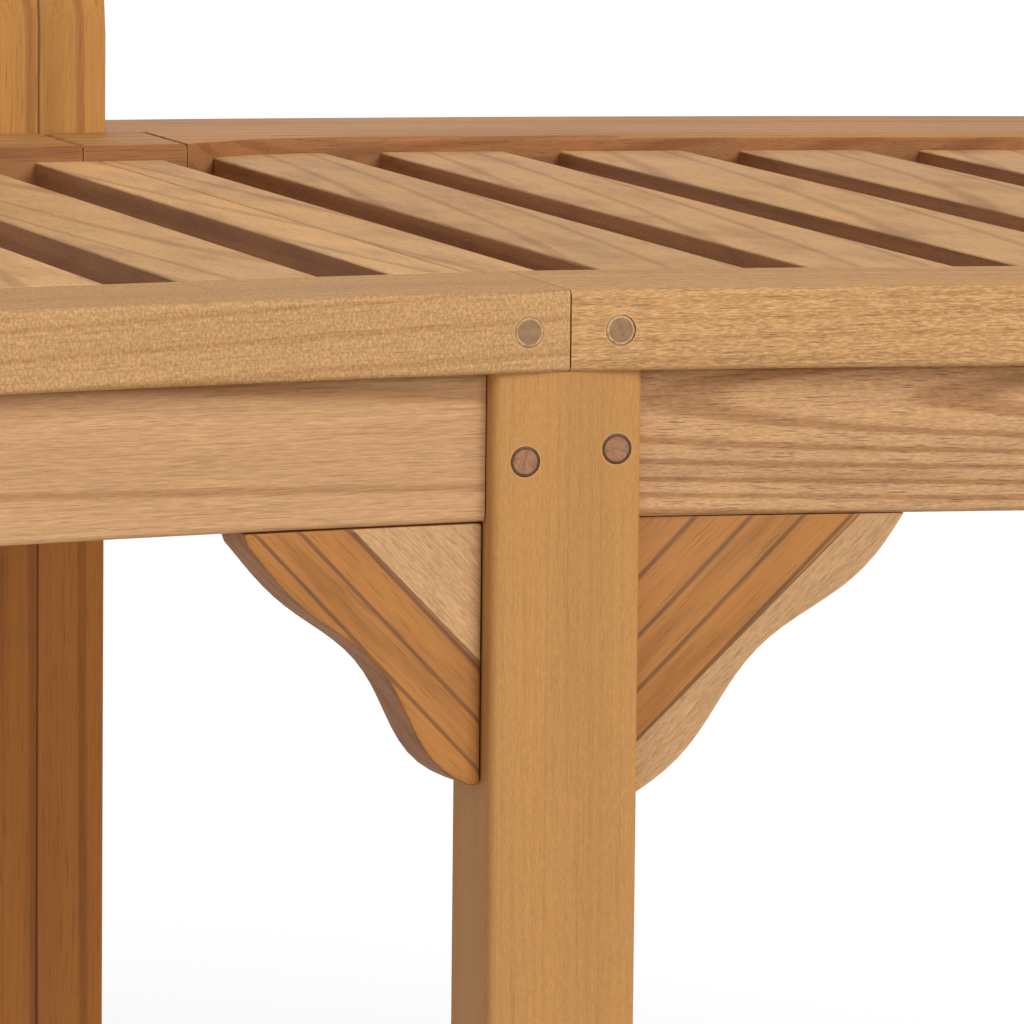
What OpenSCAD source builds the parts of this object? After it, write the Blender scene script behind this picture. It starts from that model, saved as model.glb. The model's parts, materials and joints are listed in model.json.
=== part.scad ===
// Curved teak garden bench in two halves that meet over a centre leg and a centre post.
// Millimetres, +Z up, +Y towards the back. The origin lies on the floor, under the middle of the bench.
// The front edge is hollow towards the sitter. Every slat and every end cut runs parallel to the Y axis.

/* [Overall] */
// Half the length of the bench, from the centre joint to the outer face of an end leg
half_len = 700; // [690:5:730]
// Height of the seat above the floor
seat_h = 430; // [400:5:470]
// Overall height, to the top of the back posts
total_h = 880; // [820:5:960]

/* [Curve] */
// Radius of the front edge of each half
front_r = 1600; // [1500:10:2000]
// Angle by which the two front boards meet at the centre joint, in degrees
kink = 8; // [2:0.5:10]

/* [Seat] */
// Thickness of the front and back boards
board_t = 24; // [20:1:30]
// Depth of the front board from its front edge to its inner edge
board_w = 60; // [50:1:80]
// Radius of the rounded long edges of the boards
board_edge = 2; // [1:0.5:6]
// Length of the slats between the front and the back board
slat_run = 427; // [380:1:470]
// Width of a slat
slat_w = 44; // [36:1:48]
// Thickness of a slat
slat_t = 20; // [16:1:24]
// Radius of the rounded long edges of the slats
slat_edge = 1; // [0.5:0.5:5]
// Number of whole slats in the left half
slats_left = 9; // [6:1:9]
// Number of whole slats in the right half
slats_right = 10; // [6:1:10]
// Width of each of the two half slats that meet at the centre
half_slat_w = 23; // [18:1:30]
// How far the seam of the two half slats stands to the left of the front joint
seam_offset = 14; // [0:1:16]
// Clear gap that shows as a fine dark line between neighbouring boards
line_gap = 0.4; // [0.2:0.1:1]

/* [Back board] */
// Depth of the back board
back_board_w = 60; // [50:1:75]
// Height of the back board's top above the slats
back_step = 5.5; // [2:0.5:8]
// Depth of the rear strip behind the back board
strip_w = 40; // [30:1:50]
// How far the rear strip lies below the top of the back board
strip_drop = 1; // [0:0.5:3]
// How far the rear joint and the centre post stand to the left of the front joint
rear_offset = 20; // [0:1:22]
// Half the width of the pair of blocks in front of the centre post
block_half_w = 37; // [30:1:45]
// How far the blocks stand forward of the back board's front edge
block_fore = 22; // [10:1:30]
// Length of the flare that leads from a block to the back board's front edge
flare_len = 60; // [40:1:90]

/* [Legs and posts] */
// Width of a leg or post
leg_w = 46; // [42:1:54]
// Depth of the centre front leg
leg_d = 37; // [34:1:46]
// Depth of the end legs
end_leg_d = 46; // [42:1:54]
// Depth of the rear posts
post_d = 46; // [42:1:52]
// Radius of the rounded edges of legs and posts
leg_edge = 3; // [1:0.5:5]
// How far the front board stands forward of the centre leg
board_over = 1.5; // [0:0.5:6]
// How far the end legs stand forward of the front board's edge
end_leg_fore = 3; // [0:0.5:8]
// Distance from the back board's front edge to the front of a post
post_set = 30; // [26:1:36]
// Height above the seat at which the posts start to lean back
lean_start = 45; // [30:1:80]
// Lean of the back, in degrees
lean = 9; // [4:0.5:14]

/* [Aprons] */
// Height of the aprons
apron_h = 44; // [36:1:56]
// Thickness of the aprons
apron_t = 22; // [18:1:26]
// How far the front apron is set back from the front board's edge
apron_set = 9; // [5:0.5:9]
// Thickness of the side rails
side_rail_t = 24; // [18:1:30]
// Width of the centre bearer that carries the half slats
bearer_w = 30; // [24:1:36]
// Width of the ledgers under the ends of the slats
bearing = 22; // [16:1:30]
// Height of the ledgers below the slats
ledger_h = 26; // [20:1:34]

/* [Brackets] */
// Reach of the left centre bracket along the apron and down the leg
bracket_left = 78; // [60:1:100]
// Reach of the right centre bracket and of the end brackets
bracket_right = 84; // [60:1:100]
// Thickness of a bracket
bracket_t = 20; // [14:1:20]
// Height of the waves in a bracket's free edge
bracket_wave = 3; // [0:0.5:5]
// How much the left bracket's waves grow towards the leg
bracket_skew = 0.9; // [0:0.1:1]
// How far the left bracket's free edge bulges beyond the straight slope
bracket_bulge = 1.9; // [0:0.1:3]
// How far a bracket is set back from the apron's front face
bracket_set = 2; // [1:0.5:3]

/* [Pegs and tenons] */
// Diameter of the pegs
peg_d = 8.8; // [6:0.2:10]
// Half the distance between the two pegs of a pair
peg_x = 14; // [11:0.5:16]
// How far the pairs of pegs stand to the right of the leg's middle
peg_shift = 1; // [0:0.5:2]
// Height of the left leg peg below the seat
peg_drop_left = 50; // [42:1:54]
// Height of the right leg peg and of the end and rear pegs below the seat
peg_drop = 47; // [42:1:54]
// Length of the pegs in the front legs
peg_len = 26; // [20:1:32]
// Length of the pegs in the rear posts
rear_peg_len = 34; // [30:1:40]
// Clearance all round a tenon or peg in its mortise or bore
fit_gap = 0.1; // [0.05:0.05:0.3]
// Length of a tenon
tenon_len = 20; // [14:1:21]
// Thickness of a tenon
tenon_t = 9; // [8:1:11]

/* [Screws] */
// Diameter of the screws that hold the slats from below
screw_d = 4.5; // [3.5:0.5:5.5]
// Diameter of a screw's head
screw_head_d = 9; // [7:0.5:11]
// Thickness of a screw's head, which is sunk into the wood
screw_head_t = 3; // [2:0.5:4]
// How far a screw reaches into its slat
screw_bite = 11; // [8:1:14]

/* [Arms] */
// Height of the top of the arms above the seat
arm_rise = 215; // [180:5:260]
// Thickness of the arms
arm_t = 24; // [20:1:30]
// Width of the arms
arm_w = 62; // [50:1:64]
// How far an arm stands forward of its leg
arm_fore = 30; // [15:1:45]

/* [Back rest] */
// Height of the lower back rail's underside above the seat
low_rail_rise = 72; // [60:1:100]
// Height of the lower back rail
low_rail_h = 45; // [36:1:60]
// Height of the top rail
top_rail_h = 62; // [45:1:80]
// Thickness of both back rails
rail_t = 28; // [24:1:32]
// How far the rails lie behind the front of the posts
rail_set = 6; // [3:0.5:9]
// Number of back slats in each half
back_slat_count = 9; // [5:1:11]
// Width of a back slat
back_slat_w = 40; // [30:1:44]
// Thickness of a back slat
back_slat_t = 14; // [10:1:16]
// Depth of the pockets that hold the back slats' ends
pocket = 10; // [6:1:14]

/* [Hidden] */
// Facets of a full turn in the preview of large arcs, and of small rounds
fine = 360;
small = 32;
// Narrow flats that ease each corner of a section
flats = 3;
// Room by which a cutting solid passes the faces that it cuts
past = 1;
// Wood left above and below a tenon
shoulder = 7;
// Radius of the eased edges of aprons, rails and blocks
eased = 2;
// Depth of the side rails' and the arms' joints
side_tenon_len = 14;
arm_tongue_len = 16;
arm_tongue_t = 12;
// How far the leg's stub stops below the top of the front boards, and its room past the pegs
stub_drop = 8;
stub_room = 2;

// Centre of the right half's arcs, for a front edge that starts at the joint
half_kink = kink / 2;
front_y = -leg_d / 2 - board_over;
arc_x = front_r * sin(half_kink);
arc_y = front_y - front_r * cos(half_kink);

// Radii of what follows the curve, from front to back
board_in_r = front_r + board_w;
slat_end_r = board_in_r + slat_run;
post_front_r = slat_end_r + post_set;
strip_r = slat_end_r + back_board_w;
rear_r = strip_r + strip_w;
apron_r = front_r + apron_set;
rail_r = post_front_r + rail_set;
rear_apron_r = post_front_r + (post_d - apron_t) / 2;

// Heights
board_z = seat_h - board_t;
slat_z = seat_h - slat_t;
back_z = seat_h + back_step - board_t;
apron_z = board_z - apron_h;
bend_z = seat_h + lean_start;
arm_z = seat_h + arm_rise - arm_t;
low_rail_z = seat_h + low_rail_rise;
top_rail_z = total_h - top_rail_h;

// Places along the bench
leg_in = half_len - leg_w;
leg_mid = half_len - leg_w / 2;
rail_in = leg_mid - side_rail_t / 2;
// Side faces of the centre post, as distances to the right and to the left
function post_face(side) = leg_w / 2 - side * rear_offset;
post_left = -post_face(-1);
// Distance of a peg from the side face of its leg
peg_in = leg_w / 2 - peg_x;

// Point of an arc of radius r at distance x from the centre line
function arc_at(r, x) = sqrt(pow(r, 2) - pow(abs(x) + arc_x, 2)) + arc_y;
// Angle of the arc's tangent there
function arc_turn(r, x) = asin((abs(x) + arc_x) / r);
// How far the leaning back has moved back at height z
function lean_y(z) = (z - bend_z) * tan(lean);

end_leg_y = arc_at(front_r, leg_in) - end_leg_fore;
end_post_y = arc_at(strip_r, leg_in) - back_board_w + post_set;
mid_post_y = arc_at(slat_end_r, post_face(1)) + post_set;
block_y = arc_at(slat_end_r, block_half_w) - block_fore;

// The bench's middle from front to back, which becomes the origin
foremost = end_leg_y - arm_fore;
post_up = (total_h - bend_z) / cos(lean);
rearmost = mid_post_y + post_up * sin(lean) + post_d * cos(lean);
mid_y = (foremost + rearmost) / 2;

// Clear width for the slats of each half, and the pitch that shares it out
function slat_count(side) = side > 0 ? slats_right : slats_left;
function slat_start(side) = half_slat_w - side * seam_offset;
function slat_gap(side) = (rail_in - slat_start(side) - slat_count(side) * slat_w) / (slat_count(side) + 1);
function slat_x(side, i) = slat_start(side) + (i + 1) * slat_gap(side) + i * slat_w;
function back_gap(side) = (leg_in - post_face(side) - back_slat_count * back_slat_w) / (back_slat_count + 1);
function back_x(side, i) = post_face(side) + (i + 1) * back_gap(side) + (i + 0.5) * back_slat_w;

SLATS_RIGHT = [for (i = [1:slats_right]) str("slat_right_", i)];
SLATS_LEFT = [for (i = [1:slats_left]) str("slat_left_", i)];

// Colours of the wood
gold = "#C08A48";
pale = "#D0A878";
tan_wood = "#C49A6C";
brown = "#9A6A3C";
peg_brown = "#8A6A4C";
steel = "#A0A0A0";

// Helpers

// Rectangle whose corners are eased with a few narrow flats, its lower left corner at the origin
module round_rect(w, h, r) {
    polygon([for (i = [0:3], k = [0:flats])
        let (a = 180 + 90 * (i + k / flats))
        [(i == 0 || i == 3 ? r : w - r) + r * cos(a), (i < 2 ? r : h - r) + r * sin(a)]]);
}

// Upright bar with round edges
module bar(w, d, h, r) {
    linear_extrude(h) round_rect(w, d, r);
}

// Mirrors what is drawn for the right half when side is -1
module on_side(side) {
    if (side > 0) children();
    else mirror([1, 0, 0]) children();
}

// Box from one corner to the other
module box(a, b) {
    translate(a) cube(b - a);
}

// Ring about the right half's arc centre with round edges, kept between two upright planes
module arc_bar(r, w, z, h, x0, x1, edge) {
    intersection() {
        translate([-arc_x, arc_y, z])
            rotate_extrude($fn = fine)
                translate([r, 0]) round_rect(w, h, edge);
        box([x0, 0 - half_len, z - past], [x1, rear_r, z + h + past]);
    }
}

// Ring with a stepped section, given as points of radius and height
module arc_profile(points, x0, x1) {
    intersection() {
        translate([-arc_x, arc_y, 0])
            rotate_extrude($fn = fine) polygon(points);
        box([x0, 0 - half_len, 0], [x1, rear_r, seat_h]);
    }
}

// Peg that runs back from the face at y, or with grow the bore that it sits in
module peg(x, y, z, grow) {
    fore = grow > 0 ? peg_d : 0;
    translate([x, y - fore, z]) rotate([-90, 0, 0])
        cylinder(r = peg_d / 2 + grow, h = peg_len + fore + grow, $fn = small);
}

// Legs and posts

tenon_h = apron_h - 2 * shoulder;
tenon_z = apron_z + shoulder;

// Tenon of an apron at radius r and thickness t that enters a leg face at x0 towards x1
module arc_tenon(r, x0, x1, grow) {
    arc_profile([
        [r - grow, tenon_z - grow], [r + tenon_t + grow, tenon_z - grow],
        [r + tenon_t + grow, tenon_z + tenon_h + grow], [r - grow, tenon_z + tenon_h + grow]
    ], x0, x1);
}

front_tenon_r = apron_r + (apron_t - tenon_t) / 2;
rear_tenon_r = rear_apron_r + (apron_t - tenon_t) / 2;

// Front apron's tenon at the centre leg, or at the end leg when end is true
module front_tenon(side, end, grow) {
    on_side(side)
        if (end) arc_tenon(front_tenon_r, leg_in - past, leg_in + tenon_len + grow, grow);
        else arc_tenon(front_tenon_r, leg_w / 2 - tenon_len - grow, leg_w / 2 + past, grow);
}

// Pegs that pin the front aprons to the centre leg and to an end leg
module leg_peg(side, grow) {
    peg(side * peg_x + peg_shift, -leg_d / 2, seat_h - (side > 0 ? peg_drop : peg_drop_left), grow);
}

module end_peg(side, grow) {
    peg(side * (leg_in + peg_in), end_leg_y, seat_h - peg_drop, grow);
}

// Pegs that pin the front boards to the stub on the centre leg
module board_peg(side, grow) {
    peg(side * peg_x + peg_shift, arc_at(front_r, peg_x), board_z + board_t / 2, grow);
}

// Stub on the centre leg's top, which the two front boards close round
stub_half_w = peg_x + peg_d / 2 + stub_room;
module leg_stub(grow) {
    box([-stub_half_w - grow, -tenon_t / 2 - grow, board_z - past],
        [stub_half_w + grow, tenon_t / 2 + grow, seat_h - stub_drop + grow]);
}

// Tongue of the centre bearer at the leg and at the post
module bearer_tongue(y0, y1, grow) {
    box([-seam_offset - tenon_t / 2 - grow, y0 - grow, tenon_z - grow],
        [-seam_offset + tenon_t / 2 + grow, y1 + grow, tenon_z + tenon_h + grow]);
}

bearer_tongue_len = leg_d / 2 - tenon_t;

module front_leg_centre() {
    color(gold) difference() {
        union() {
            translate([-leg_w / 2, -leg_d / 2, 0]) bar(leg_w, leg_d, board_z, leg_edge);
            leg_stub(0);
        }
        front_tenon(1, false, fit_gap);
        front_tenon(-1, false, fit_gap);
        bearer_tongue(leg_d / 2 - bearer_tongue_len, leg_d / 2 + past, fit_gap);
        for (side = [-1, 1]) {
            leg_peg(side, fit_gap);
            board_peg(side, fit_gap);
        }
    }
}

// Side rail tenons, which run along Y into the end leg and the end post
module side_tenon(y0, y1, grow) {
    box([leg_mid - tenon_t / 2 - grow, y0 - grow, tenon_z - grow],
        [leg_mid + tenon_t / 2 + grow, y1 + grow, seat_h - shoulder + grow]);
}

module end_leg() {
    color(gold) difference() {
        union() {
            translate([leg_in, end_leg_y, 0]) bar(leg_w, end_leg_d, arm_z, leg_edge);
            arm_tenon(0);
        }
        front_tenon(1, true, fit_gap);
        side_tenon(end_leg_y + end_leg_d - side_tenon_len, end_leg_y + end_leg_d + past, fit_gap);
        end_peg(1, fit_gap);
    }
}

// Stub on an end leg's top, which stands in the arm
module arm_tenon(grow) {
    half = tenon_len / 2 + grow;
    mid = end_leg_y + end_leg_d / 2;
    box([leg_mid - half, mid - half, arm_z - past],
        [leg_mid + half, mid + half, arm_z + arm_t - stub_drop + grow]);
}

// Post that stands upright to the bend and leans back above it, its left front corner at x, y
module post_bar(x, y) {
    top_y = post_up * sin(lean);
    translate([x, y, 0]) rotate([90, 0, 90]) linear_extrude(leg_w)
        polygon([[0, 0], [post_d, 0], [post_d, bend_z - post_d * tan(lean / 2)],
                 [top_y + post_d * cos(lean), total_h - post_d * sin(lean)], [top_y, total_h], [0, bend_z]]);
}

// Tenon of a back rail, shorter and lower than the rail
module rail_tenon(z, h, x0, x1, grow) {
    translate([0, lean_y(z + h / 2), 0])
        intersection() {
            translate([-arc_x, arc_y, z + shoulder - grow])
                rotate_extrude($fn = fine)
                    translate([rail_r + (rail_t - tenon_t) / 2 - grow, 0])
                        square([tenon_t + 2 * grow, h - 2 * shoulder + 2 * grow]);
            box([x0, 0, z - past], [x1, rear_r, z + h + past]);
        }
}

module rear_tenon(x0, x1, grow) {
    arc_tenon(rear_tenon_r, x0, x1, grow);
}

// Peg that runs forward from a post's back face at height z, or its bore
module post_peg(x, y, z, grow) {
    extra = grow > 0 ? past : 0;
    leaning = z > bend_z ? lean : 0;
    translate([x, y, min(z, bend_z)]) rotate([-leaning, 0, 0])
        translate([0, post_d + extra, (z - min(z, bend_z)) / cos(lean)]) rotate([90, 0, 0])
            cylinder(r = peg_d / 2 + grow, h = rear_peg_len + extra + grow, $fn = small);
}

// Heights of the pegs that pin the rear apron, the lower back rail and the top rail
peg_heights = [seat_h - peg_drop, low_rail_z + low_rail_h / 2, top_rail_z + top_rail_h / 2];

// The pegs of one half at the given height: one in the centre post and one in the end post
module half_post_pegs(side, z, grow) {
    on_side(side) {
        post_peg(post_face(side) - peg_in, mid_post_y, z, grow);
        post_peg(leg_in + peg_in, end_post_y, z, grow);
    }
}

// Mortises for every tenon that enters a post between x0 and x1
module post_mortises(side, x0, x1) {
    on_side(side) {
        rear_tenon(x0, x1, fit_gap);
        rail_tenon(low_rail_z, low_rail_h, x0, x1, fit_gap);
        rail_tenon(top_rail_z, top_rail_h, x0, x1, fit_gap);
    }
    for (z = peg_heights) half_post_pegs(side, z, fit_gap);
}

module rear_post_centre() {
    color(brown) difference() {
        post_bar(post_left, mid_post_y);
        for (side = [-1, 1])
            post_mortises(side, post_face(side) - tenon_len - fit_gap, post_face(side) + past);
        bearer_tongue(mid_post_y - past, mid_post_y + bearer_tongue_len, fit_gap);
    }
}

module end_post() {
    color(brown) difference() {
        post_bar(leg_in, end_post_y);
        post_mortises(1, leg_in - past, leg_in + tenon_len + fit_gap);
        side_tenon(end_post_y - past, end_post_y + side_tenon_len, fit_gap);
        arm_tongue(fit_gap);
    }
}

// Seat boards

module front_board(side) {
    color(gold) difference() {
        on_side(side) difference() {
            arc_bar(front_r, board_w, board_z, board_t, line_gap / 2, rail_in - line_gap, board_edge);
            box([leg_in - line_gap, -half_len, board_z - past],
                [half_len, end_leg_y + end_leg_d + line_gap, seat_h + past]);
        }
        leg_stub(fit_gap);
        board_peg(side, fit_gap);
    }
}

// Outer side of a block, as a distance from the centre line
function block_face(side) = block_half_w - side * rear_offset;

module back_board(side) {
    color(tan_wood) on_side(side) difference() {
        union() {
            arc_bar(slat_end_r, back_board_w, back_z, board_t, post_face(side) + line_gap,
                    rail_in - line_gap, board_edge);
            flare(side, 0);
        }
        // Room for the block, the centre post and the end post
        box([0 - half_len, block_y - past, back_z - past],
            [block_face(side) + line_gap, mid_post_y - line_gap / 2, seat_h + board_t]);
        box([0 - half_len, mid_post_y - past, back_z - past],
            [post_face(side) + line_gap, rear_r, seat_h + board_t]);
        box([leg_in - line_gap, end_post_y - line_gap, back_z - past],
            [half_len, rear_r, seat_h + board_t]);
    }
}

// Part of the back board that widens forward until it meets the block
flare_steps = 10;
module flare(side, grow) {
    start = block_face(side);
    fore = arc_at(slat_end_r, start) - block_y;
    front = [for (i = [0:flare_steps])
        let (t = i / flare_steps, x = start + t * flare_len)
        [x, arc_at(slat_end_r, x) - fore * pow(1 - t, 2) - grow]];
    inner = [for (i = [flare_steps:-1:0])
        let (x = start + i / flare_steps * flare_len)
        [x, arc_at(slat_end_r, x) + board_edge + past]];
    translate([0, 0, back_z - grow]) linear_extrude(board_t + grow) polygon(concat(front, inner));
}

module rear_block(side) {
    color(tan_wood) on_side(side)
        translate([line_gap / 2 - side * rear_offset, mid_post_y - line_gap, back_z]) rotate([90, 0, 0])
            linear_extrude(mid_post_y - block_y - line_gap)
                round_rect(block_half_w - line_gap / 2, board_t, eased);
}

module rear_strip(side) {
    color(tan_wood) on_side(side) difference() {
        arc_bar(strip_r + line_gap, strip_w - line_gap, back_z, board_t - strip_drop,
                line_gap / 2 - side * rear_offset, half_len, eased);
        box([0 - half_len, 0, back_z - past],
            [post_face(side) + line_gap, mid_post_y + post_d + line_gap, seat_h + board_t]);
        box([leg_in - line_gap, 0, back_z - past],
            [half_len + past, end_post_y + post_d + line_gap, seat_h + board_t]);
    }
}

// Aprons, rails and ledgers

module front_apron(side) {
    color(pale) difference() {
        union() {
            on_side(side)
                arc_bar(apron_r, apron_t, apron_z, apron_h, leg_w / 2 + line_gap, leg_in - line_gap, eased);
            front_tenon(side, false, 0);
            front_tenon(side, true, 0);
        }
        leg_peg(side, fit_gap);
        end_peg(side, fit_gap);
    }
}

module rear_apron(side) {
    color(brown) difference() {
        on_side(side) {
            arc_bar(rear_apron_r, apron_t, apron_z, back_z - apron_z - line_gap / 2,
                    post_face(side) + line_gap, leg_in - line_gap, eased);
            rear_tenon(post_face(side) - tenon_len, post_face(side) + past, 0);
            rear_tenon(leg_in - past, leg_in + tenon_len, 0);
        }
        half_post_pegs(side, peg_heights[0], fit_gap);
    }
}

module side_rail() {
    y0 = end_leg_y + end_leg_d;
    color(gold) {
        translate([rail_in, end_post_y - line_gap / 2, apron_z]) rotate([90, 0, 0])
            linear_extrude(end_post_y - y0 - line_gap) round_rect(side_rail_t, seat_h - apron_z, eased);
        side_tenon(y0 - side_tenon_len, end_post_y + side_tenon_len, 0);
    }
}

module centre_bearer() {
    color(brown) difference() {
        union() {
            box([-seam_offset - bearer_w / 2, leg_d / 2 + line_gap / 2, apron_z],
                [-seam_offset + bearer_w / 2, mid_post_y - line_gap / 2, slat_z]);
            bearer_tongue(leg_d / 2 - bearer_tongue_len, mid_post_y + bearer_tongue_len, 0);
        }
        half_slat_screws(fit_gap);
    }
}

// Screw that reaches up into a slat from a face at height z, or with grow its hole
module screw(x, y, z, grow) {
    extra = grow > 0 ? past : 0;
    translate([x, y, z - extra]) {
        cylinder(r = screw_head_d / 2 + grow, h = screw_head_t + extra, $fn = small);
        cylinder(r = screw_d / 2 + grow, h = slat_z + screw_bite - z + extra + grow, $fn = small);
    }
}

// Two screws for slat i of one half, up through the front and the rear ledger
ledger_z = slat_z - ledger_h;
module slat_screw(side, i, grow) {
    x = slat_x(side, i) + slat_w / 2;
    on_side(side) for (r = [board_in_r + bearing / 2, slat_end_r - bearing / 2])
        screw(x, arc_at(r, x), ledger_z, grow);
}

module slat_screws_of(side, grow) {
    for (i = [0:slat_count(side) - 1]) slat_screw(side, i, grow);
}

// Two screws for each half slat, up through the centre bearer
module half_slat_screws(grow) {
    for (side = [-1, 1], y = [leg_d / 2 + 3 * bearing, block_y - 2 * bearing])
        screw(-seam_offset + side * bearer_w / 4, y, ledger_z - bearing, grow);
}

// Front ledger: glued to the apron, under the front board's inner edge and the slats' ends
module front_ledger(side) {
    r0 = apron_r + apron_t;
    r1 = board_in_r + bearing;
    step = board_in_r + line_gap;
    start = max(leg_w / 2, bearer_w / 2 - side * seam_offset);
    difference() {
        on_side(side)
            arc_profile([[r0, ledger_z], [r1, ledger_z], [r1, slat_z], [step, slat_z],
                         [step, board_z], [r0, board_z]], start + line_gap, leg_in - line_gap);
        slat_screws_of(side, fit_gap);
    }
}

// Rear ledger: glued to the rear apron, under the back board and the slats' back ends
module rear_ledger(side) {
    r0 = slat_end_r - bearing;
    step = slat_end_r + line_gap;
    difference() {
        on_side(side)
            arc_profile([[r0, ledger_z], [rear_apron_r, ledger_z], [rear_apron_r, back_z],
                         [step, back_z], [step, slat_z], [r0, slat_z]],
                        post_face(side) + line_gap, leg_in - line_gap);
        slat_screws_of(side, fit_gap);
    }
}

module front_ledgers() {
    color(brown) for (side = [-1, 1]) front_ledger(side);
}

module rear_ledgers() {
    color(brown) for (side = [-1, 1]) rear_ledger(side);
}

// Brackets

// Free edge of a bracket: a slope with a hollow in its middle and a swell at each side. The waves run
// through wave_turn degrees between the middle and either end.
bracket_steps = 24;
wave_turn = 270;
function bracket_point(reach, skew, bulge, t) =
    let (q = t + t - 1,
         out = (bulge - bracket_wave * cos(wave_turn * q) * (1 + skew * q)) * sin(45))
    [reach * (1 - t) + out, -reach * t - out];

module bracket_plate(reach, skew, bulge) {
    rotate([90, 0, 0]) linear_extrude(bracket_t)
        polygon(concat(
            [[-bracket_t / 2, 0], [reach, 0]],
            [for (i = [1:bracket_steps - 1]) bracket_point(reach, skew, bulge, i / bracket_steps)],
            [[0, -reach], [-bracket_t / 2, -reach]]));
}

// Bracket beside the centre leg, turned to follow the apron and cut off at the leg's side
module bracket_centre(side) {
    reach = side > 0 ? bracket_right : bracket_left;
    turn = arc_turn(apron_r, leg_w / 2 + reach / 2);
    y = arc_at(apron_r, leg_w / 2) + bracket_set + bracket_t;
    color(gold) on_side(side) intersection() {
        translate([leg_w / 2, y, apron_z]) rotate([0, 0, -turn])
            bracket_plate(reach, side > 0 ? 0 : bracket_skew, side > 0 ? 0 : bracket_bulge);
        box([leg_w / 2 + line_gap / 2, -half_len, 0], [half_len, half_len, apron_z - line_gap / 2]);
    }
}

// Bracket beside an end leg
module bracket_end(side) {
    turn = arc_turn(apron_r, leg_in - bracket_right / 2);
    y = arc_at(apron_r, leg_in) + (bracket_set + bracket_t) / cos(turn);
    color(gold) on_side(side) intersection() {
        translate([leg_in, y, apron_z]) rotate([0, 0, -turn]) mirror([1, 0, 0])
            bracket_plate(bracket_right, 0, 0);
        box([0, -half_len, 0], [leg_in - line_gap / 2, half_len, apron_z - line_gap / 2]);
    }
}

// Arms

// Tongue at an arm's back end, which enters the post
module arm_tongue(grow) {
    z = arm_z + (arm_t - arm_tongue_t) / 2;
    box([leg_mid - leg_w / 4 - grow, end_post_y - past, z - grow],
        [leg_mid + leg_w / 4 + grow, end_post_y + lean_y(arm_z) + arm_tongue_len + grow,
         z + arm_tongue_t + grow]);
}

module armrest() {
    y0 = end_leg_y - arm_fore;
    color(gold) difference() {
        union() {
            difference() {
                union() {
                    translate([leg_mid, y0 + arm_w / 2, arm_z])
                        cylinder(r = arm_w / 2, h = arm_t, $fn = fine);
                    box([leg_mid - arm_w / 2, y0 + arm_w / 2, arm_z],
                        [leg_mid + arm_w / 2, end_post_y + lean_y(arm_z + arm_t) + past, arm_z + arm_t]);
                }
                // The back end follows the post's leaning face
                translate([leg_mid - arm_w, end_post_y - line_gap, bend_z]) rotate([-lean, 0, 0])
                    cube([2 * arm_w, post_d + arm_w, post_up]);
            }
            intersection() {
                arm_tongue(0);
                box([0, end_post_y + lean_y(arm_z) - past, arm_z], [half_len, rear_r, arm_z + arm_t]);
            }
        }
        arm_tenon(fit_gap);
    }
}

// Back rest

// Upright back slat at distance x from the centre line, grown for its pockets
module back_slat(x, grow) {
    r = rail_r + rail_t / 2;
    z0 = low_rail_z + low_rail_h - pocket;
    z1 = top_rail_z + pocket;
    translate([x, arc_at(r, x), bend_z]) rotate([-lean, 0, 0])
        translate([0, 0, (z0 - bend_z) / cos(lean)]) rotate([0, 0, -arc_turn(r, x)])
            translate([-back_slat_w / 2 - grow, -back_slat_t / 2 - grow, -grow])
                cube([back_slat_w + 2 * grow, back_slat_t + 2 * grow, (z1 - z0) / cos(lean) + 2 * grow]);
}

module back_slats(side) {
    color(tan_wood) on_side(side)
        for (i = [0:back_slat_count - 1]) back_slat(back_x(side, i), 0);
}

module back_rail(side, z, h) {
    face = post_face(side);
    color(gold) difference() {
        on_side(side) difference() {
            union() {
                translate([0, lean_y(z + h / 2), 0])
                    arc_bar(rail_r, rail_t, z, h, face + line_gap, leg_in - line_gap, board_edge);
                rail_tenon(z, h, face - tenon_len, face + past, 0);
                rail_tenon(z, h, leg_in - past, leg_in + tenon_len, 0);
            }
            for (i = [0:back_slat_count - 1]) back_slat(back_x(side, i), fit_gap);
        }
        half_post_pegs(side, z + h / 2, fit_gap);
    }
}

// Slats

// Bar along Y whose ends follow the boards' curves, its inner edge at distance x
module slat_bar(side, x, w) {
    on_side(side) difference() {
        intersection() {
            translate([x, rear_r, slat_z]) rotate([90, 0, 0])
                linear_extrude(rear_r + half_len) round_rect(w, slat_t, slat_edge);
            translate([-arc_x, arc_y, slat_z - past]) difference() {
                cylinder(r = slat_end_r - line_gap, h = slat_t + 2 * past, $fn = fine);
                translate([0, 0, -past])
                    cylinder(r = board_in_r + line_gap, h = slat_t + 4 * past, $fn = fine);
            }
            box([0 - half_len, -half_len, 0], [half_len, rear_r, total_h]);
        }
        flare(side, line_gap);
        box([0 - half_len, block_y - line_gap, 0], [block_face(side) + line_gap, rear_r, total_h]);
    }
}

module seat_slat(side, i) {
    color(tan_wood) difference() {
        slat_bar(side, slat_x(side, i), slat_w);
        slat_screw(side, i, fit_gap);
    }
}

module half_slat(side) {
    color(tan_wood) difference() {
        slat_bar(side, line_gap / 2 - side * seam_offset, half_slat_w - line_gap / 2);
        half_slat_screws(fit_gap);
    }
}

// Pegs

module board_pegs() {
    color(peg_brown) for (side = [-1, 1]) board_peg(side, 0);
}

module leg_pegs() {
    color(peg_brown) for (side = [-1, 1]) {
        leg_peg(side, 0);
        end_peg(side, 0);
    }
}

module post_pegs() {
    color(peg_brown) for (side = [-1, 1], z = peg_heights) half_post_pegs(side, z, 0);
}

module slat_screws() {
    color(steel) {
        for (side = [-1, 1]) slat_screws_of(side, 0);
        half_slat_screws(0);
    }
}

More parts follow.
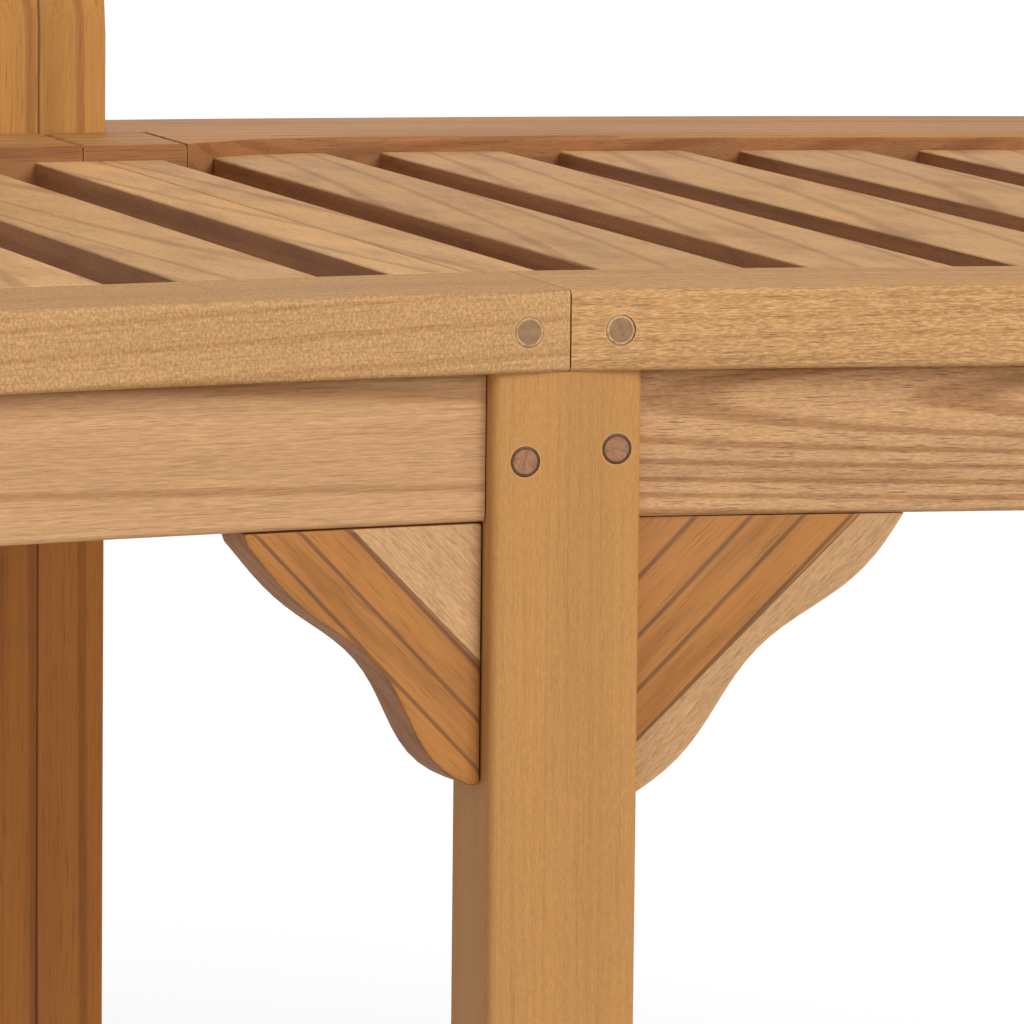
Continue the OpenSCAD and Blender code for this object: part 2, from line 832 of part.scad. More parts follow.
// Puts a piece into the frame whose origin is the middle of the bench
module place() {
    translate([0, -mid_y, 0]) children();
}

place() front_leg_centre();
place() on_side(-1) end_leg();  // front_leg_left
place() end_leg();  // front_leg_right
place() rear_post_centre();
place() on_side(-1) end_post();  // rear_post_left
place() end_post();  // rear_post_right
place() front_board(-1);  // front_board_left
place() front_board(1);  // front_board_right
place() front_apron(-1);  // front_apron_left
place() front_apron(1);  // front_apron_right
place() back_board(-1);  // back_board_left
place() back_board(1);  // back_board_right
place() rear_strip(-1);  // rear_strip_left
place() rear_strip(1);  // rear_strip_right
place() rear_block(-1);  // rear_block_left
place() rear_block(1);  // rear_block_right
place() rear_apron(-1);  // rear_apron_left
place() rear_apron(1);  // rear_apron_right
place() on_side(-1) side_rail();  // side_rail_left
place() side_rail();  // side_rail_right
place() centre_bearer();
place() front_ledgers();
place() rear_ledgers();
place() bracket_centre(-1);  // bracket_centre_left
place() bracket_centre(1);  // bracket_centre_right
place() bracket_end(-1);  // bracket_end_left
place() bracket_end(1);  // bracket_end_right
place() on_side(-1) armrest();  // armrest_left
place() armrest();  // armrest_right
place() back_rail(-1, top_rail_z, top_rail_h);  // top_rail_left
place() back_rail(1, top_rail_z, top_rail_h);  // top_rail_right
place() back_rail(-1, low_rail_z, low_rail_h);  // low_back_rail_left
place() back_rail(1, low_rail_z, low_rail_h);  // low_back_rail_right
place() back_slats(-1);  // back_slats_left
place() back_slats(1);  // back_slats_right
place() half_slat(-1);  // half_slat_left
place() half_slat(1);  // half_slat_right
place() board_pegs();
place() leg_pegs();
place() post_pegs();
place() slat_screws();
for (i = [0:slats_right - 1])
    place() seat_slat(1, i);
for (i = [0:slats_left - 1])
    place() seat_slat(-1, i);
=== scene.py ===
"""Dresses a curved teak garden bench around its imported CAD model: timbers, pegs, screws, woods and studio."""

import json
import math
import random

import bmesh
import bpy
from bpy.props import FloatProperty, FloatVectorProperty, PointerProperty
from mathutils import Matrix, Vector

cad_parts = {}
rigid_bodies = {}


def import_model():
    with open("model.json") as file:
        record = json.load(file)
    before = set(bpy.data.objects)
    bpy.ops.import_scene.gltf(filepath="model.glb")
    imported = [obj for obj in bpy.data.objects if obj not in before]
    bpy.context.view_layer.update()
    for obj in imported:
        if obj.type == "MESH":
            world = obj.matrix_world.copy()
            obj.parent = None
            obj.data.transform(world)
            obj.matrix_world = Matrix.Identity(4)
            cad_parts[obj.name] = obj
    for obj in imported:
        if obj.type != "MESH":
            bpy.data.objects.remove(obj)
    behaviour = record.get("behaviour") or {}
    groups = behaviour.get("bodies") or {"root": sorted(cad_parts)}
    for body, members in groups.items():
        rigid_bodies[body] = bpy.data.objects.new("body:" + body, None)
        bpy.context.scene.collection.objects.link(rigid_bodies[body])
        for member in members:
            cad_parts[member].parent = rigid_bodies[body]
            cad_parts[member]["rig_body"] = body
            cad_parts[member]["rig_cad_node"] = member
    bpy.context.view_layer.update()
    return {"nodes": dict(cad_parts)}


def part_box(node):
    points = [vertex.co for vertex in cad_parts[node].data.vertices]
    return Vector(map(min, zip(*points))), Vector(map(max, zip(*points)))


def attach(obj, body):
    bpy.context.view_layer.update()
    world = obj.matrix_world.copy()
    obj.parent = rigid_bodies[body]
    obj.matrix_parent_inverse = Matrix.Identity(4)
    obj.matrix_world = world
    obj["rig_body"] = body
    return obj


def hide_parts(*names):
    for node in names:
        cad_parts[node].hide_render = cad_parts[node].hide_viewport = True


bl_info = {
    "name": "Curved Teak Bench",
    "version": (1, 0, 0),
    "blender": (4, 5, 0),
    "location": "3D View > Sidebar > Teak Bench",
    "description": "Builds the timbers, pegs, screws, finishes and studio of a curved teak garden bench",
    "category": "Add Mesh",
}

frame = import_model()
NODES = frame["nodes"]
SIDES = ("left", "right")
HALVES = ((-1, "left"), (1, "right"))
MM = 0.001
X, Y, Z = (1, 0, 0), (0, 1, 0), (0, 0, 1)
FRONT = (0, -1, 0)

# How far the front boards stand over the centre leg, and the radius of each half's front edge, in metres
BOARD_OVER = 0.0015
FRONT_RADIUS = 1.6
# Half the angle between the two halves of the bench
HALF_KINK = math.radians(4)
# Share of a rear post's width at which its two boards are glued
POST_SEAM = 0.47
# Corners nearer than this, in metres, are one corner
MERGE = 2e-6
# Faces that meet at less than this are one flat face, and edges sharper than these are eased or kept crisp
FLAT_ANGLE = math.radians(0.3)
ARRIS_ANGLE = math.radians(48)
TIMBER_SMOOTH = math.radians(38)
SCREW_SMOOTH = math.radians(35)


def linear(code):
    """Linear red, green and blue of an sRGB hex colour."""
    parts = [int(code[i:i + 2], 16) / 255 for i in (1, 3, 5)]
    return [c / 12.92 if c <= 0.04045 else ((c + 0.055) / 1.055) ** 2.4 for c in parts]


def colour(name, about, code):
    """A colour property whose default is an sRGB hex colour."""
    return FloatVectorProperty(name=name, description=about, subtype="COLOR", size=3, min=0, max=1,
                               default=linear(code))


def length(name, about, millimetres):
    """A length property whose default is given in millimetres."""
    return FloatProperty(name=name, description=about, unit="LENGTH", subtype="DISTANCE", min=0, precision=5,
                         default=millimetres * MM)


# Sizes and colours

class BenchWoodColours(bpy.types.PropertyGroup):
    """Early and late wood of each group of timbers, with darker copies that paint shade on some faces, and the
    glue, steel and floor
    """

    legs_light: colour("Legs, early wood", "Pale growth of the front legs", "#C08D50")
    legs_dark: colour("Legs, late wood", "Dark growth of the front legs", "#A4703A")
    posts_light: colour("Posts, early wood", "Pale growth of the rear posts", "#C79046")
    posts_dark: colour("Posts, late wood", "Dark growth of the rear posts", "#8A552B")
    boards_light: colour("Front boards, early wood", "Pale growth of the front boards", "#C89C68")
    boards_dark: colour("Front boards, late wood", "Dark growth of the front boards", "#A87442")
    aprons_light: colour("Aprons, early wood", "Pale growth of the aprons", "#CFA172")
    aprons_dark: colour("Aprons, late wood", "Dark growth of the aprons", "#946339")
    backs_light: colour("Back boards, early wood", "Pale growth of back boards and strips", "#C18C50")
    backs_dark: colour("Back boards, late wood", "Dark growth of back boards and strips", "#94643A")
    # Front faces of back boards and blocks: the same teak drawn darker, as painted shade
    fronts_light: colour("Back boards' fronts, early wood", "Pale growth on the front edges", "#A97344")
    fronts_dark: colour("Back boards' fronts, late wood", "Dark growth on the front edges", "#7C4B2B")
    rails_light: colour("Rails, early wood", "Pale growth of rails, bearer and ledgers", "#BC8A52")
    rails_dark: colour("Rails, late wood", "Dark growth of rails, bearer and ledgers", "#8A5C32")
    brackets_light: colour("Brackets, early wood", "Pale growth of the brackets", "#B27639")
    brackets_dark: colour("Brackets, late wood", "Dark growth of the brackets", "#67432A")
    bracket_pale_light: colour("Brackets' paler boards, early wood", "Pale growth of that board", "#C79C6F")
    bracket_pale_dark: colour("Brackets' paler boards, late wood", "Dark growth of that board", "#A97F52")
    slats_light: colour("Slats, early wood", "Pale growth of the seat slats", "#E1B37B")
    slats_dark: colour("Slats, late wood", "Dark growth of the seat slats", "#96683F")
    # Slats' sides and brackets' edges: partly the darker sawn side, partly painted shade in the gaps
    slat_sides_light: colour("Slats' sides, early wood", "Pale growth on the slats' sawn sides", "#A87446")
    slat_sides_dark: colour("Slats' sides, late wood", "Dark growth on the slats' sawn sides", "#7A4C2C")
    arms_light: colour("Arms, early wood", "Pale growth of the arms", "#C79659")
    arms_dark: colour("Arms, late wood", "Dark growth of the arms", "#9C6A37")
    pegs_light: colour("Leg and post pegs, early wood", "Pale end grain of reddish pegs", "#AC7D5A")
    pegs_dark: colour("Leg and post pegs, late wood", "Dark end grain of reddish pegs", "#7A4E34")
    board_pegs_light: colour("Board pegs, early wood", "Pale end grain of the boards' pegs", "#A2805F")
    board_pegs_dark: colour("Board pegs, late wood", "Dark end grain of the boards' pegs", "#765535")
    pore: colour("Pores", "Oil-filled pores, short dark lines along the grain", "#5E3A1E")
    glue: colour("Glue line", "Dark line of glue and oil at a joint", "#4A2A18")
    pale_glue: colour("Pale glue line", "Dry glue round the pegs in the boards", "#B08A62")
    steel: colour("Screws", "Stainless steel", "#B9B8B4")
    floor: colour("Floor", "Pale studio floor", "#F2F1EE")


class BenchSizes(bpy.types.PropertyGroup):
    """Sizes of what this file adds to the CAD model"""

    arris: length("Arris", "Radius of the eased edges of posts and brackets, and half the arms'", 1.6)
    fine_arris: length("Fine arris", "Radius of the eased edges of slats and boards", 0.7)
    ring_gap: length("Ring spacing", "Distance between growth rings", 3.2)
    fibre: length("Fibre", "Width of the streaks along the grain, drawn coarser than life", 0.9)
    pore_width: length("Pore width", "Width of a pore line, drawn coarser than life so that it shows", 0.45)
    pore_run: length("Pore length", "Length of a pore line", 14)
    left_joint: length("Left bracket's joint", "From the corner to the joint in the left centre bracket", 42)
    right_joint: length("Other brackets' joint", "From the corner to the joint in the other brackets", 67.5)
    peg_round: length("Peg rounding", "Radius at the rim of a peg's end", 0.35)
    peg_glue: length("Peg glue ring", "Width of the ring of glue round a peg", 0.45)
    socket: length("Screw socket", "Width across the flats of a screw's socket", 4)
    socket_depth: length("Screw socket depth", "Depth of a screw's socket", 1.8)


class BenchStudio(bpy.types.PropertyGroup):
    """Camera, lamps and floor"""

    lens: FloatProperty(name="Lens", description="Focal length on a 36 mm sensor", default=281.5, min=10,
                        unit="CAMERA")
    yaw: FloatProperty(name="Camera yaw", description="Turn of the view to the right of +Y",
                       default=math.radians(18.3484), subtype="ANGLE")
    pitch: FloatProperty(name="Camera pitch", description="Fall of the view below the horizon",
                         default=math.radians(7.1941), subtype="ANGLE")
    roll: FloatProperty(name="Camera roll", description="Turn of the camera about its own axis",
                        default=math.radians(0.5793), subtype="ANGLE")
    stand: FloatVectorProperty(name="Camera place",
                               description="From the middle of the centre leg at seat height to the camera",
                               default=(-0.74201, -2.20467, 0.22621), unit="LENGTH", subtype="XYZ")
    key: FloatProperty(name="Key light", description="Strength of the main lamp", default=2.2, min=0)
    fill: FloatProperty(name="Fill light", description="Strength of the lamp on the left", default=0.5, min=0)
    back: FloatProperty(name="Back light", description="Strength of the lamp behind", default=0.5, min=0)
    sky: FloatProperty(name="Sky light", description="Strength of the even light", default=0.34, min=0)
    floor_half: length("Floor", "Half the width of the floor", 90000)


class BenchSettings(bpy.types.PropertyGroup):
    """All that a user changes"""

    woods: PointerProperty(type=BenchWoodColours)
    sizes: PointerProperty(type=BenchSizes)
    studio: PointerProperty(type=BenchStudio)


def settings():
    return bpy.context.scene.teak_bench


# Materials

def add(tree, kind, sockets=None, stops=(), **values):
    """Adds a node with its settings and links.

    A socket that is given another node's output is linked to it. stops are a colour ramp's places, in rising
    order, with a colour or a grey level each.
    """
    made = tree.nodes.new(kind)
    for name, value in values.items():
        setattr(made, name, value)
    for name, value in (sockets or {}).items():
        socket = made.inputs[name]
        if isinstance(value, bpy.types.NodeSocket):
            tree.links.new(value, socket)
        else:
            socket.default_value = (*value[:3], 1) if socket.type == "RGBA" else value
    for i, (place, value) in enumerate(stops):
        points = made.color_ramp.elements
        point = points[i] if i < len(points) else points.new(1.0)
        point.position = place
        point.color = (value, value, value, 1) if isinstance(value, (int, float)) else (*value[:3], 1)
    return made


def empty_material(name):
    """A new material and its node tree, which holds a shader and an output."""
    made = bpy.data.materials.new(name)
    made.use_nodes = True
    tree = made.node_tree
    shader = next(n for n in tree.nodes if n.type == "BSDF_PRINCIPLED")
    return made, tree, shader


# One turn of the wave texture's rings takes this much of its own length
WAVE_TURN = math.pi / 10

# How each group of timbers was sawn and what its figure shows. rings, streaks, pores, flecks and patches are
# strengths from 0 to 1. pith is how far the log's middle lies across and below the face, fleck is the size of
# a fleck along and across the grain, and patch that of a change of tone, all in millimetres. swirl bends the
# rings, coarse spreads them, late is the share of a ring at which its dark wood starts, and tilt is the angle
# in degrees between the plank's face and the log's length, which opens the rings into arches.
PLAIN = dict(flecks=0.0, fleck=(2.0, 0.5), patches=0.75, patch=(600, 45), late=0.6, tilt=0.6)
FIGURES = {
    "legs": dict(PLAIN, rings=0.10, streaks=0.22, pores=0.10, flecks=0.20, pith=(160, -20), swirl=5.0,
                 coarse=1.0),
    "posts": dict(PLAIN, rings=0.40, streaks=0.50, pores=0.30, pith=(110, -40), swirl=9.0, coarse=4.5,
                  late=0.8, patches=0.9, patch=(400, 14)),
    "boards": dict(PLAIN, rings=0.15, streaks=0.30, pores=0.20, flecks=0.7, pith=(20, -120), swirl=9.0,
                   coarse=1.3),
    "aprons": dict(PLAIN, rings=0.25, streaks=0.60, pores=0.25, pith=(40, -110), swirl=9.0, coarse=2.2),
    "backs": dict(PLAIN, rings=0.35, streaks=0.45, pores=0.30, pith=(60, -90), swirl=8.0, coarse=2.2,
                  patch=(90, 40)),
    # Front faces of back boards and blocks, drawn darker as painted shade
    "fronts": dict(PLAIN, rings=0.35, streaks=0.50, pores=0.40, pith=(60, -90), swirl=6.0, coarse=2.2,
                   patch=(40, 20)),
    "rails": dict(PLAIN, rings=0.40, streaks=0.50, pores=0.40, pith=(30, -60), swirl=12.0, coarse=2.8,
                  late=0.7, patch=(200, 20), tilt=2.5),
    "brackets": dict(PLAIN, rings=0.70, streaks=0.45, pores=0.30, pith=(90, -60), swirl=12.0, coarse=2.8,
                     late=0.86, patches=1.0, patch=(45, 7), tilt=3.0),
    "bracket_pale": dict(PLAIN, rings=0.12, streaks=0.45, pores=0.30, flecks=0.35, fleck=(3.0, 0.5),
                         pith=(190, -30), swirl=5.0, coarse=2.0),
    "slats": dict(PLAIN, rings=0.32, streaks=0.45, pores=0.35, pith=(30, -60), swirl=12.0, coarse=3.0,
                  late=0.82, patches=1.0, patch=(50, 16), tilt=2.5),
    # Sides of slats and edges of brackets: partly sawn-side tone, partly painted shade
    "slat_sides": dict(PLAIN, rings=0.30, streaks=0.55, pores=0.40, flecks=0.4, fleck=(1.2, 0.6),
                       pith=(60, -70), swirl=7.0, coarse=2.6, patch=(50, 12)),
    "arms": dict(PLAIN, rings=0.40, streaks=0.50, pores=0.35, pith=(10, -60), swirl=10.0, coarse=2.4,
                 late=0.7, tilt=2.0),
    "pegs": dict(PLAIN, rings=0.25, streaks=0.60, pores=0.50, pith=(14, -8), swirl=1.0, coarse=1.0,
                 patch=(5, 3)),
    "board_pegs": dict(PLAIN, rings=0.15, streaks=0.40, pores=0.30, pith=(14, -8), swirl=1.0, coarse=1.0,
                       patch=(5, 3)),
}
# Painted shade under the seat: how much darker and redder the wood below the seat is drawn, and how far the
# change runs up and down, in metres
BELOW_SEAT_SHADE = (1.0, 0.82, 0.78)
BELOW_SEAT_SHADE_FADE = 0.01


def plank_space(tree, centre, grain, face, look, chance, bend=0):
    """Place in a plank: X runs with the grain, Z out of its main face, and the log's pith is the X axis.

    A bend of -1 or 1 makes the grain follow the left or the right half's curve.
    """
    coords = add(tree, "ShaderNodeTexCoord").outputs["Object"]
    centre = Vector(centre)
    if bend:
        coords = straightened(tree, coords, bend)
        hub = arc_hub(bend)
        reach = (centre - hub).xy.length
        along = FRONT_RADIUS * math.atan2(centre.x - hub.x, centre.y - hub.y)
        centre = Vector((along, reach - FRONT_RADIUS, centre.z))
        grain = X
    x = Vector(grain).normalized()
    y = Vector(face).cross(x).normalized()
    turn = Matrix.Rotation(math.radians(look["tilt"]), 3, "Y") @ Matrix((x, y, x.cross(y)))
    across, below = (p * MM for p in look["pith"])
    shift = Vector((chance.uniform(-3, 3), across * chance.choice((-1, 1)), -below)) - turn @ centre
    return add(tree, "ShaderNodeMapping", {
        "Vector": coords, "Location": shift, "Rotation": turn.to_euler("XYZ")}).outputs[0]


def arc_hub(side):
    """Centre of the arcs of the left or right half, on the floor."""
    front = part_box("front_leg_centre")[0].y - BOARD_OVER
    return Vector((-side * FRONT_RADIUS * math.sin(HALF_KINK), front - FRONT_RADIUS * math.cos(HALF_KINK), 0))


def straightened(tree, coords, side):
    """Place along the curve, place across it and height, in metres, for a point of one half."""
    hub = arc_hub(side)
    from_hub = add(tree, "ShaderNodeVectorMath", {0: coords, 1: hub}, operation="SUBTRACT").outputs[0]
    parts = add(tree, "ShaderNodeSeparateXYZ", {0: from_hub}).outputs
    flat = add(tree, "ShaderNodeVectorMath", {0: from_hub, 1: (1, 1, 0)}, operation="MULTIPLY").outputs[0]
    reach = add(tree, "ShaderNodeVectorMath", {0: flat}, operation="LENGTH").outputs["Value"]
    angle = add(tree, "ShaderNodeMath", {0: parts["X"], 1: parts["Y"]}, operation="ARCTAN2").outputs[0]
    along = add(tree, "ShaderNodeMath", {0: angle, 1: FRONT_RADIUS}, operation="MULTIPLY").outputs[0]
    across = add(tree, "ShaderNodeMath", {0: reach, 1: FRONT_RADIUS}, operation="SUBTRACT").outputs[0]
    return add(tree, "ShaderNodeCombineXYZ", {"X": along, "Y": across, "Z": parts["Z"]}).outputs[0]


def spots(tree, place, run, width, **shape):
    """Uneven spots of about this length along the grain and this width across it, in metres."""
    shares = (1 / run, 1 / width, 1 / width)
    drawn_out = add(tree, "ShaderNodeVectorMath", {0: place, 1: shares}, operation="MULTIPLY").outputs[0]
    return add(tree, "ShaderNodeTexNoise", {"Vector": drawn_out, "Scale": 1.0, **shape}).outputs["Fac"]


def teak(name, group, centre, grain, face, seed, tone=0.0, glue_line=None, bend=0, dim_below=None,
         **changes):
    """Oiled teak: satin, golden brown, with growth rings, fine fibres and short dark pores along the plank.

    tone lightens or darkens the plank. glue_line is a plane, a normal and a distance, where two boards were
    glued. bend is -1 or 1 for a plank sawn to the left or the right half's curve. dim_below is a height below
    which the wood is drawn darker and redder, as painted shade under the seat.
    """
    look = {**FIGURES[group], **changes}
    woods, sizes = settings().woods, settings().sizes
    light, dark = (list(getattr(woods, group + growth)) for growth in ("_light", "_dark"))
    chance = random.Random(seed)
    made, tree, shader = empty_material(name)
    place = plank_space(tree, centre, grain, face, look, chance, bend)
    level = 1 + tone + chance.uniform(-0.03, 0.03)
    light, dark = [c * level for c in light], [c * level for c in dark]
    mid = [(a + b) / 2 for a, b in zip(light, dark)]

    # Growth rings, warped slowly along the log
    slow = (0.06, 1, 1)
    along_log = add(tree, "ShaderNodeVectorMath", {0: place, 1: slow}, operation="MULTIPLY").outputs[0]
    rings = add(tree, "ShaderNodeTexWave", {
        "Vector": along_log, "Scale": WAVE_TURN / (sizes.ring_gap * look["coarse"]),
        "Distortion": look["swirl"], "Detail": 2.0, "Detail Scale": 0.16, "Detail Roughness": 0.55,
        "Phase Offset": chance.uniform(0, 6)},
        wave_type="RINGS", rings_direction="X", wave_profile="SAW").outputs["Fac"]
    late = look["late"]
    growth = add(tree, "ShaderNodeValToRGB", {"Fac": rings}, stops=(
        (0.0, mid), (0.2 * (1 - late), light), (late, light), (0.35 + 0.65 * late, dark), (0.97, dark),
        (1.0, mid))).outputs["Color"]

    # Fine fibres along the grain, in streaks about 200 mm long
    fibre = spots(tree, place, 0.2, sizes.fibre, Detail=4.0, Roughness=0.62)
    streaks = add(tree, "ShaderNodeValToRGB", {"Fac": fibre}, stops=(
        (0.3, 0.72), (0.5, 0.97), (0.72, 1.14))).outputs["Color"]

    # Broad changes of tone from one part of the plank to the next
    patches = add(tree, "ShaderNodeValToRGB", {
        "Fac": spots(tree, place, *(p * MM for p in look["patch"]), Detail=3.0, Roughness=0.5)}, stops=(
        (0.30, (0.80, 0.76, 0.74)), (0.50, 1.0), (0.72, (1.12, 1.10, 1.04)))).outputs["Color"]

    # Each layer has its strength, its colour and how it is laid over what is below
    layers = [(look["rings"], growth, "MIX"), (look["streaks"], streaks, "MULTIPLY"),
              (look["patches"], patches, "MULTIPLY")]

    # Flecks, short light dashes where the rays come to the surface
    if look["flecks"]:
        rays = spots(tree, place, *(f * MM for f in look["fleck"]), Detail=2.0, Roughness=0.6, Distortion=0.3)
        dashes = add(tree, "ShaderNodeValToRGB", {"Fac": rays}, stops=(
            (0.34, 0.64), (0.50, 1.0), (0.66, 1.45)))
        layers.append((look["flecks"], dashes.outputs["Color"], "MULTIPLY"))

    # Pores, short dark lines
    pores = spots(tree, place, sizes.pore_run, sizes.pore_width, Detail=1.0, Roughness=0.4)
    open_pore = add(tree, "ShaderNodeValToRGB", {"Fac": pores}, stops=((0.60, 0.0), (0.72, 1.0))).outputs[0]
    oiled = add(tree, "ShaderNodeMath", {0: open_pore, 1: look["pores"]}, operation="MULTIPLY").outputs[0]
    layers.append((oiled, woods.pore, "MIX"))

    # Painted shade: darker, redder wood below the seat
    if dim_below:
        layers.append(below_seat_shade_layer(tree, dim_below))
    if glue_line:
        layers.append(glue_layer(tree, glue_line, woods.glue))
    # Paler edges: partly wear, partly a painted highlight along the arrises
    layers.append(wear_and_highlight_layer(tree, light))
    wood = [(a * 2 + b) / 3 for a, b in zip(light, dark)]
    for strength, over, how in layers:
        wood = add(tree, "ShaderNodeMix", {0: strength, 6: wood, 7: over}, data_type="RGBA",
                   blend_type=how).outputs[2]
    tree.links.new(wood, shader.inputs["Base Color"])

    # Fibres stand up a fraction of a quarter of a millimetre, and pores are sunk between them
    raised = add(tree, "ShaderNodeMath", {0: fibre, 1: 0.8}, operation="MULTIPLY").outputs[0]
    relief = add(tree, "ShaderNodeMath", {0: raised, 1: open_pore}, operation="SUBTRACT").outputs[0]
    bump = add(tree, "ShaderNodeBump", {"Height": relief, "Strength": 0.35, "Distance": 0.00025})
    tree.links.new(bump.outputs["Normal"], shader.inputs["Normal"])
    rough = add(tree, "ShaderNodeMapRange", {"Value": fibre, "To Min": 0.52, "To Max": 0.72})
    tree.links.new(rough.outputs["Result"], shader.inputs["Roughness"])
    shader.inputs["IOR"].default_value = 1.5
    shader.inputs["Specular IOR Level"].default_value = 0.3
    return made


def below_seat_shade_layer(tree, height):
    """Painted shade: the wood drawn darker and redder below this height, where the seat shades it."""
    place = add(tree, "ShaderNodeTexCoord").outputs["Object"]
    z = add(tree, "ShaderNodeSeparateXYZ", {0: place}).outputs["Z"]
    low = add(tree, "ShaderNodeMapRange", {
        "Value": z, "From Min": height + BELOW_SEAT_SHADE_FADE, "From Max": height - BELOW_SEAT_SHADE_FADE})
    return low.outputs["Result"], BELOW_SEAT_SHADE, "MULTIPLY"


def glue_layer(tree, plane, line_colour):
    """A thin dark line where a plane, given by its normal and its distance in metres, meets the surface."""
    normal, distance = plane
    place = add(tree, "ShaderNodeTexCoord").outputs["Object"]
    reach = add(tree, "ShaderNodeVectorMath", {0: place, 1: normal}, operation="DOT_PRODUCT").outputs["Value"]
    off = add(tree, "ShaderNodeMath", {0: reach, 1: distance}, operation="SUBTRACT").outputs[0]
    gap = add(tree, "ShaderNodeMath", {0: off}, operation="ABSOLUTE").outputs[0]
    # Full to 0.2 mm from the joint, gone at 0.6 mm
    line = add(tree, "ShaderNodeMapRange", {
        "Value": gap, "From Min": 0.0002, "From Max": 0.0006, "To Min": 0.8, "To Max": 0.0})
    return line.outputs["Result"], line_colour, "MIX"


def wear_and_highlight_layer(tree, light):
    """Edges painted paler over a millimetre or two: partly wear where hands and cloths rub the oil off, partly
    a painted highlight along the arrises.
    """
    near = add(tree, "ShaderNodeBevel", {"Radius": 0.0016}, samples=4).outputs["Normal"]
    true = add(tree, "ShaderNodeNewGeometry").outputs["Normal"]
    same = add(tree, "ShaderNodeVectorMath", {0: near, 1: true}, operation="DOT_PRODUCT").outputs["Value"]
    edge = add(tree, "ShaderNodeMapRange", {
        "Value": same, "From Min": 0.99, "From Max": 0.80, "To Min": 0.0, "To Max": 0.45})
    return edge.outputs["Result"], [min(1.0, c * 1.25) for c in light], "MIX"


# Timbers

def alone(piece):
    """Leaves only this object selected and active."""
    bpy.ops.object.select_all(action="DESELECT")
    piece.select_set(True)
    bpy.context.view_layer.objects.active = piece


def select_faces(piece, chosen):
    """Selects, in edit mode, only the faces that chosen picks."""
    bpy.ops.mesh.select_all(action="DESELECT")
    shape = bmesh.from_edit_mesh(piece.data)
    for face in shape.faces:
        face.select_set(chosen(face))
    bmesh.update_edit_mesh(piece.data)


def eased(node, width, shortest=0.0):
    """A merged copy of a CAD timber with its sharp arrises eased, which stands for that node.

    Only edges at least as long as shortest are eased, so that joints cut inside the timber stay as they are.
    """
    piece = NODES[node].copy()
    piece.data = NODES[node].data.copy()
    piece.name = node + "_timber"
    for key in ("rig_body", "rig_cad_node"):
        if key in piece:
            del piece[key]
    piece.parent = None
    bpy.context.scene.collection.objects.link(piece)
    alone(piece)
    bpy.ops.mesh.customdata_custom_splitnormals_clear()
    bpy.ops.object.mode_set(mode="EDIT")
    bpy.ops.mesh.select_all(action="SELECT")
    bpy.ops.mesh.remove_doubles(threshold=MERGE)
    bpy.ops.mesh.dissolve_limited(angle_limit=FLAT_ANGLE)
    bpy.ops.mesh.select_all(action="DESELECT")
    bpy.ops.mesh.select_mode(type="EDGE")
    shape = bmesh.from_edit_mesh(piece.data)
    for edge in shape.edges:
        sharp = len(edge.link_faces) == 2 and edge.calc_face_angle() > ARRIS_ANGLE
        edge.select_set(bool(sharp and edge.is_convex and edge.calc_length() >= shortest))
    bmesh.update_edit_mesh(piece.data)
    if width and any(edge.select for edge in shape.edges):
        bpy.ops.mesh.bevel(offset=width, segments=2, affect="EDGES", clamp_overlap=True)
    bpy.ops.object.mode_set(mode="OBJECT")
    bpy.ops.object.shade_smooth_by_angle(angle=TIMBER_SMOOTH)
    bpy.ops.object.modifier_add(type="WEIGHTED_NORMAL")
    piece.modifiers[-1].keep_sharp = True
    bpy.ops.object.modifier_apply(modifier=piece.modifiers[-1].name)
    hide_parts(node)
    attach(piece, "root")
    return piece


def centre_of(node):
    low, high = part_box(node)
    return (low + high) / 2


def timber(node, group, slot, grain, face, width, shortest=0.0, keep=False, **look):
    """Dresses one CAD node: eased and in its own plank of teak, or, with keep, the CAD shape as it is."""
    wood = teak("oiled_teak_" + node, group, centre_of(node), grain, face, node, **look)
    piece = NODES[node] if keep else eased(node, width, shortest)
    piece.data.materials.clear()
    piece.data.materials.append(wood)
    return piece


class TEAKBENCH_OT_legs(bpy.types.Operator):
    """Front legs: straight-grained, honey gold"""

    bl_idname = "teakbench.legs"
    bl_label = "Front legs"

    def execute(self, context):
        timber("front_leg_centre", "legs", "teak_legs", Z, FRONT, 0)
        for side in SIDES:
            timber("front_leg_" + side, "legs", "teak_legs", Z, FRONT, 0, tone=-0.04)
        return {"FINISHED"}


class TEAKBENCH_OT_posts(bpy.types.Operator):
    """Rear posts, which bend back above the seat"""

    bl_idname = "teakbench.posts"
    bl_label = "Rear posts"

    def execute(self, context):
        arris = settings().sizes.arris
        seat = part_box("front_board_right")[1].z
        for place in ("centre", *SIDES):
            node = "rear_post_" + place
            low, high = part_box(node)
            seam = low.x + POST_SEAM * (high.x - low.x)
            # The posts are drawn darker and redder below the seat: painted shade
            timber(node, "posts", "teak_posts", Z, FRONT, arris, shortest=0.05, dim_below=seat,
                   glue_line=(X, seam))
        return {"FINISHED"}


class TEAKBENCH_OT_boards(bpy.types.Operator):
    """Front boards of the seat, hollow towards the sitter's legs"""

    bl_idname = "teakbench.boards"
    bl_label = "Front boards"

    def execute(self, context):
        fine = settings().sizes.fine_arris
        timber("front_board_left", "boards", "teak_boards", X, Z, fine, shortest=0.004, bend=-1, tone=-0.04,
               flecks=0.60, fleck=(0.8, 1.1), rings=0.30, pith=(30, -50), tilt=2.0, late=0.8, coarse=2.0)
        timber("front_board_right", "boards", "teak_boards", X, Z, fine, shortest=0.004, bend=1, tone=0.04,
               flecks=0.72, fleck=(2.4, 0.4), rings=0.22, pith=(70, -60), pores=0.45, streaks=0.40)
        return {"FINISHED"}


